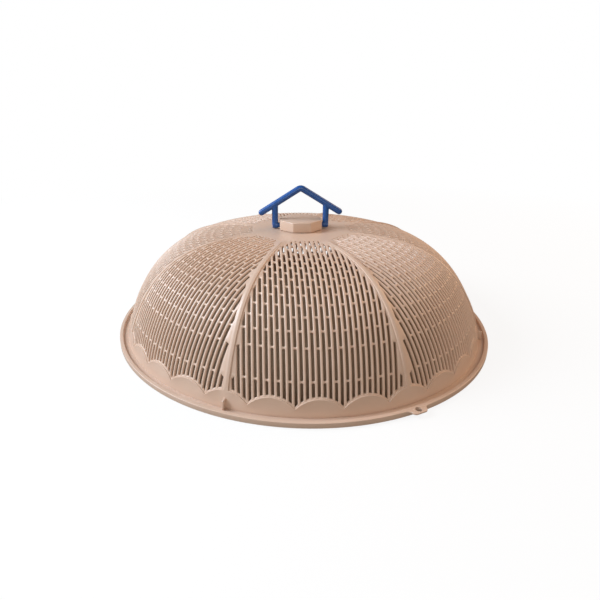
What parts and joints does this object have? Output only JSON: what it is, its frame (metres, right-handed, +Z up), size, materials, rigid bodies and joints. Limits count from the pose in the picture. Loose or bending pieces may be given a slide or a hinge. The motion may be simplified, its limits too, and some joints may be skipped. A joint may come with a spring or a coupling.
{
  "type": "food cover",
  "caption": "Slotted round dome that stands over a plate of food, with a gutter rim, a hanging tab and a folding gable-shaped handle on its crown.",
  "frame": {"origin": "centre of the rim's flat underside, on the surface that the cover stands on", "axes": "+Z up through the crown, -Y towards the front grille panel, X along the handle's hinge line"},
  "size_m": [0.33, 0.33, 0.1223],
  "materials": {
    "dome_plastic": "satin, moulded",
    "seat_plastic": "satin, moulded",
    "handle_plastic": "glossy, moulded",
    "screw_steel": "zinc plated"
  },
  "bodies": {
    "cover": {"dome": "dome_plastic", "handle_seat": "seat_plastic", "seat_screw": "screw_steel"},
    "handle": {"handle": "handle_plastic"}
  },
  "joints": [
    {"name": "handle_fold", "type": "hinge", "parent": "cover", "child": "handle", "pos_m": [0, 0, 0.0874], "axis": [1, 0, 0], "range_deg": [-90, 90]}
  ]
}
